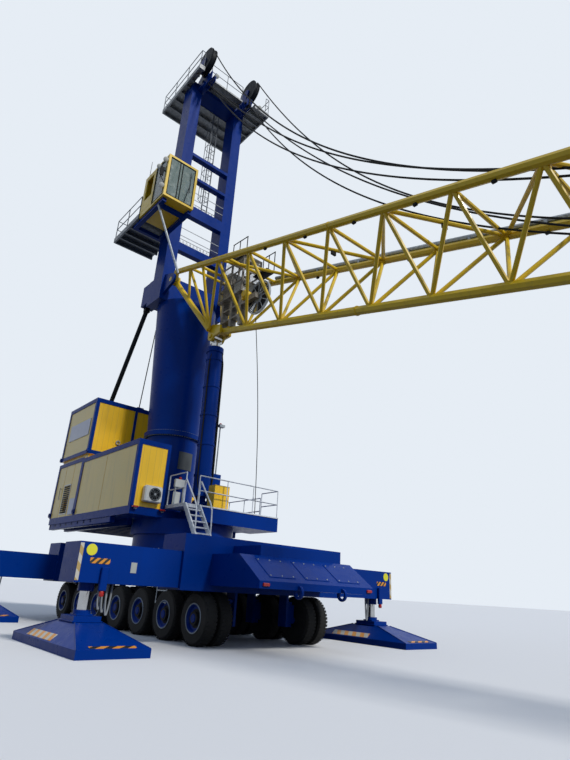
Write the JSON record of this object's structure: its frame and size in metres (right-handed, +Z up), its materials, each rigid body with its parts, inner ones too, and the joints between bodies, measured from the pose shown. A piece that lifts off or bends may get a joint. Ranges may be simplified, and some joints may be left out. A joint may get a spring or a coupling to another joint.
{
  "type": "mobile harbour crane, half-size scale model",
  "caption": "Rubber-tyred harbour crane at 1:2: chassis on pads, slewing house, tower and mast with cab, and a long three-chord lattice boom lowered forward.",
  "frame": {"origin": "on the ground under the slewing axis", "axes": "+X towards the boom tip, +Y to the crane's left, +Z up"},
  "size_m": [21.1843, 6.08, 14.405],
  "materials": {
    "blue_paint": "gloss paint",
    "yellow_paint": "gloss paint",
    "tyre": "worn rubber",
    "glass": "tinted",
    "seat_cloth": "woven",
    "galvanised": "galvanised",
    "chrome": "hard chrome",
    "dark_steel": "greased, dark"
  },
  "bodies": {
    "chassis": {"chassis": "blue_paint"},
    "wheel_1_right": {"wheel_1_right": "tyre"},
    "steering_swivel_1_right": {"steering_swivel_1_right": "blue_paint"},
    "wheel_1_left": {"wheel_1_left": "tyre"},
    "steering_swivel_1_left": {"steering_swivel_1_left": "blue_paint"},
    "wheel_2_right": {"wheel_2_right": "tyre"},
    "steering_swivel_2_right": {"steering_swivel_2_right": "blue_paint"},
    "wheel_2_left": {"wheel_2_left": "tyre"},
    "steering_swivel_2_left": {"steering_swivel_2_left": "blue_paint"},
    "wheel_3_right": {"wheel_3_right": "tyre"},
    "wheel_3_left": {"wheel_3_left": "tyre"},
    "wheel_4_right": {"wheel_4_right": "tyre"},
    "wheel_4_left": {"wheel_4_left": "tyre"},
    "wheel_5_right": {"wheel_5_right": "tyre"},
    "wheel_5_left": {"wheel_5_left": "tyre"},
    "wheel_6_right": {"wheel_6_right": "tyre"},
    "steering_swivel_6_right": {"steering_swivel_6_right": "blue_paint"},
    "wheel_6_left": {"wheel_6_left": "tyre"},
    "steering_swivel_6_left": {"steering_swivel_6_left": "blue_paint"},
    "wheel_7_right": {"wheel_7_right": "tyre"},
    "steering_swivel_7_right": {"steering_swivel_7_right": "blue_paint"},
    "wheel_7_left": {"wheel_7_left": "tyre"},
    "steering_swivel_7_left": {"steering_swivel_7_left": "blue_paint"},
    "outrigger_beam_front_right": {"outrigger_beam_front_right": "blue_paint"},
    "jack_foot_front_right": {"jack_foot_front_right": "blue_paint"},
    "outrigger_beam_front_left": {"outrigger_beam_front_left": "blue_paint"},
    "jack_foot_front_left": {"jack_foot_front_left": "blue_paint"},
    "outrigger_beam_rear_right": {"outrigger_beam_rear_right": "blue_paint"},
    "jack_foot_rear_right": {"jack_foot_rear_right": "blue_paint"},
    "outrigger_beam_rear_left": {"outrigger_beam_rear_left": "blue_paint"},
    "jack_foot_rear_left": {"jack_foot_rear_left": "blue_paint"},
    "head_sheave_right": {"head_sheave_right": "dark_steel"},
    "head_sheave_left": {"head_sheave_left": "dark_steel"},
    "cab_door": {"cab_door": "yellow_paint"},
    "cable_reel": {"cable_reel": "galvanised"},
    "tip_sheaves": {"tip_sheaves": "dark_steel"},
    "hook_block": {"hook_block": "yellow_paint"},
    "luffing_barrel": {"luffing_barrel": "blue_paint"},
    "luffing_rod": {"luffing_rod": "chrome"},
    "boom": {"boom": "yellow_paint", "boom_conduit": "galvanised", "service_cage": "galvanised"},
    "superstructure": {"access_stair": "galvanised", "cab_glass": "glass", "cab_seat": "seat_cloth", "cab_shell": "yellow_paint", "cab_walkway": "galvanised", "deck_rails": "galvanised", "head_sheave_frames": "blue_paint", "head_walkway": "galvanised", "house_fittings": "galvanised", "house_frames": "blue_paint", "mast": "blue_paint", "rear_house": "yellow_paint", "rear_stays": "dark_steel", "side_house_left": "yellow_paint", "side_house_right": "yellow_paint", "tower_column": "blue_paint", "turntable": "blue_paint", "winch_house": "yellow_paint"}
  },
  "joints": [
    {"name": "steer_1_right", "type": "hinge", "parent": "chassis", "child": "steering_swivel_1_right", "pos_m": [-2.475, -0.59, 0.342], "axis": [0, 0, 1], "range_deg": [-15, 15]},
    {"name": "spin_1_right", "type": "hinge", "parent": "steering_swivel_1_right", "child": "wheel_1_right", "pos_m": [-2.475, -0.905, 0.342], "axis": [0, 1, 0], "continuous": true},
    {"name": "steer_1_left", "type": "hinge", "parent": "chassis", "child": "steering_swivel_1_left", "pos_m": [-2.475, 0.59, 0.342], "axis": [0, 0, 1], "range_deg": [-15, 15]},
    {"name": "spin_1_left", "type": "hinge", "parent": "steering_swivel_1_left", "child": "wheel_1_left", "pos_m": [-2.475, 0.905, 0.342], "axis": [0, 1, 0], "continuous": true},
    {"name": "steer_2_right", "type": "hinge", "parent": "chassis", "child": "steering_swivel_2_right", "pos_m": [-1.65, -0.59, 0.342], "axis": [0, 0, 1], "range_deg": [-10, 10]},
    {"name": "spin_2_right", "type": "hinge", "parent": "steering_swivel_2_right", "child": "wheel_2_right", "pos_m": [-1.65, -0.905, 0.342], "axis": [0, 1, 0], "continuous": true},
    {"name": "steer_2_left", "type": "hinge", "parent": "chassis", "child": "steering_swivel_2_left", "pos_m": [-1.65, 0.59, 0.342], "axis": [0, 0, 1], "range_deg": [-10, 10]},
    {"name": "spin_2_left", "type": "hinge", "parent": "steering_swivel_2_left", "child": "wheel_2_left", "pos_m": [-1.65, 0.905, 0.342], "axis": [0, 1, 0], "continuous": true},
    {"name": "spin_3_right", "type": "hinge", "parent": "chassis", "child": "wheel_3_right", "pos_m": [-0.825, -0.905, 0.342], "axis": [0, 1, 0], "continuous": true},
    {"name": "spin_3_left", "type": "hinge", "parent": "chassis", "child": "wheel_3_left", "pos_m": [-0.825, 0.905, 0.342], "axis": [0, 1, 0], "continuous": true},
    {"name": "spin_4_right", "type": "hinge", "parent": "chassis", "child": "wheel_4_right", "pos_m": [0, -0.905, 0.342], "axis": [0, 1, 0], "continuous": true},
    {"name": "spin_4_left", "type": "hinge", "parent": "chassis", "child": "wheel_4_left", "pos_m": [0, 0.905, 0.342], "axis": [0, 1, 0], "continuous": true},
    {"name": "spin_5_right", "type": "hinge", "parent": "chassis", "child": "wheel_5_right", "pos_m": [0.825, -0.905, 0.342], "axis": [0, 1, 0], "continuous": true},
    {"name": "spin_5_left", "type": "hinge", "parent": "chassis", "child": "wheel_5_left", "pos_m": [0.825, 0.905, 0.342], "axis": [0, 1, 0], "continuous": true},
    {"name": "steer_6_right", "type": "hinge", "parent": "chassis", "child": "steering_swivel_6_right", "pos_m": [1.65, -0.59, 0.342], "axis": [0, 0, 1], "range_deg": [-10, 10]},
    {"name": "spin_6_right", "type": "hinge", "parent": "steering_swivel_6_right", "child": "wheel_6_right", "pos_m": [1.65, -0.905, 0.342], "axis": [0, 1, 0], "continuous": true},
    {"name": "steer_6_left", "type": "hinge", "parent": "chassis", "child": "steering_swivel_6_left", "pos_m": [1.65, 0.59, 0.342], "axis": [0, 0, 1], "range_deg": [-10, 10]},
    {"name": "spin_6_left", "type": "hinge", "parent": "steering_swivel_6_left", "child": "wheel_6_left", "pos_m": [1.65, 0.905, 0.342], "axis": [0, 1, 0], "continuous": true},
    {"name": "steer_7_right", "type": "hinge", "parent": "chassis", "child": "steering_swivel_7_right", "pos_m": [2.475, -0.59, 0.342], "axis": [0, 0, 1], "range_deg": [-15, 15]},
    {"name": "spin_7_right", "type": "hinge", "parent": "steering_swivel_7_right", "child": "wheel_7_right", "pos_m": [2.475, -0.905, 0.342], "axis": [0, 1, 0], "continuous": true},
    {"name": "steer_7_left", "type": "hinge", "parent": "chassis", "child": "steering_swivel_7_left", "pos_m": [2.475, 0.59, 0.342], "axis": [0, 0, 1], "range_deg": [-15, 15]},
    {"name": "spin_7_left", "type": "hinge", "parent": "steering_swivel_7_left", "child": "wheel_7_left", "pos_m": [2.475, 0.905, 0.342], "axis": [0, 1, 0], "continuous": true},
    {"name": "extend_front_right", "type": "slide", "parent": "chassis", "child": "outrigger_beam_front_right", "axis": [0, 1, 0], "range_m": [0, 0.8]},
    {"name": "jack_front_right", "type": "slide", "parent": "outrigger_beam_front_right", "child": "jack_foot_front_right", "axis": [0, 0, 1], "range_m": [0, 0.2]},
    {"name": "extend_front_left", "type": "slide", "parent": "chassis", "child": "outrigger_beam_front_left", "axis": [0, -1, 0], "range_m": [0, 0.8]},
    {"name": "jack_front_left", "type": "slide", "parent": "outrigger_beam_front_left", "child": "jack_foot_front_left", "axis": [0, 0, 1], "range_m": [0, 0.2]},
    {"name": "extend_rear_right", "type": "slide", "parent": "chassis", "child": "outrigger_beam_rear_right", "axis": [0, 1, 0], "range_m": [0, 0.8]},
    {"name": "jack_rear_right", "type": "slide", "parent": "outrigger_beam_rear_right", "child": "jack_foot_rear_right", "axis": [0, 0, 1], "range_m": [0, 0.2]},
    {"name": "extend_rear_left", "type": "slide", "parent": "chassis", "child": "outrigger_beam_rear_left", "axis": [0, -1, 0], "range_m": [0, 0.8]},
    {"name": "jack_rear_left", "type": "slide", "parent": "outrigger_beam_rear_left", "child": "jack_foot_rear_left", "axis": [0, 0, 1], "range_m": [0, 0.2]},
    {"name": "head_sheave_spin_right", "type": "hinge", "parent": "superstructure", "child": "head_sheave_right", "pos_m": [-0.45, -0.725, 14.03], "axis": [0, 1, 0], "continuous": true},
    {"name": "head_sheave_spin_left", "type": "hinge", "parent": "superstructure", "child": "head_sheave_left", "pos_m": [-0.45, 0.725, 14.03], "axis": [0, 1, 0], "continuous": true},
    {"name": "slew", "type": "hinge", "parent": "chassis", "child": "superstructure", "pos_m": [0, 0, 1.56], "axis": [0, 0, 1], "continuous": true},
    {"name": "boom_luff", "type": "hinge", "parent": "superstructure", "child": "boom", "pos_m": [-0.55, 0, 7.175], "axis": [0, -1, 0], "range_deg": [0, 85]},
    {"name": "luff_barrel", "type": "hinge", "parent": "superstructure", "child": "luffing_barrel", "pos_m": [0.515, 0, 2.15], "axis": [0, 1, 0], "range_deg": [0, 6.76]},
    {"name": "luff_rod", "type": "slide", "parent": "luffing_barrel", "child": "luffing_rod", "axis": [-0.0243, 0, 0.9997], "range_m": [0, 2.4031]},
    {"name": "cab_door_hinge", "type": "hinge", "parent": "superstructure", "child": "cab_door", "pos_m": [-0.89, -1.6, 8.62], "axis": [0, 0, -1], "range_deg": [0, 95]},
    {"name": "cable_reel_spin", "type": "hinge", "parent": "boom", "child": "cable_reel", "pos_m": [1.74, 0.06, 6.12], "axis": [0, 1, 0], "continuous": true},
    {"name": "tip_sheave_spin", "type": "hinge", "parent": "boom", "child": "tip_sheaves", "pos_m": [16.95, 0, 1.76], "axis": [0, 1, 0], "continuous": true},
    {"name": "hook_swing", "type": "hinge", "parent": "boom", "child": "hook_block", "pos_m": [16.95, 0, 1.76], "axis": [0, -1, 0], "range_deg": [-85, 0]}
  ],
  "couplings": [
    {"joint": "steer_7_left", "follows": "steer_7_right", "ratio": 1},
    {"joint": "steer_6_right", "follows": "steer_7_right", "ratio": 0.6666},
    {"joint": "steer_6_left", "follows": "steer_7_right", "ratio": 0.6666},
    {"joint": "steer_2_right", "follows": "steer_7_right", "ratio": -0.6666},
    {"joint": "steer_2_left", "follows": "steer_7_right", "ratio": -0.6666},
    {"joint": "steer_1_right", "follows": "steer_7_right", "ratio": -1},
    {"joint": "steer_1_left", "follows": "steer_7_right", "ratio": -1},
    {"joint": "luff_barrel", "follows": "boom_luff", "ratio": 0.079366},
    {"joint": "luff_rod", "follows": "boom_luff", "m_per_rad": 1.6192},
    {"joint": "hook_swing", "follows": "boom_luff", "ratio": -1}
  ]
}
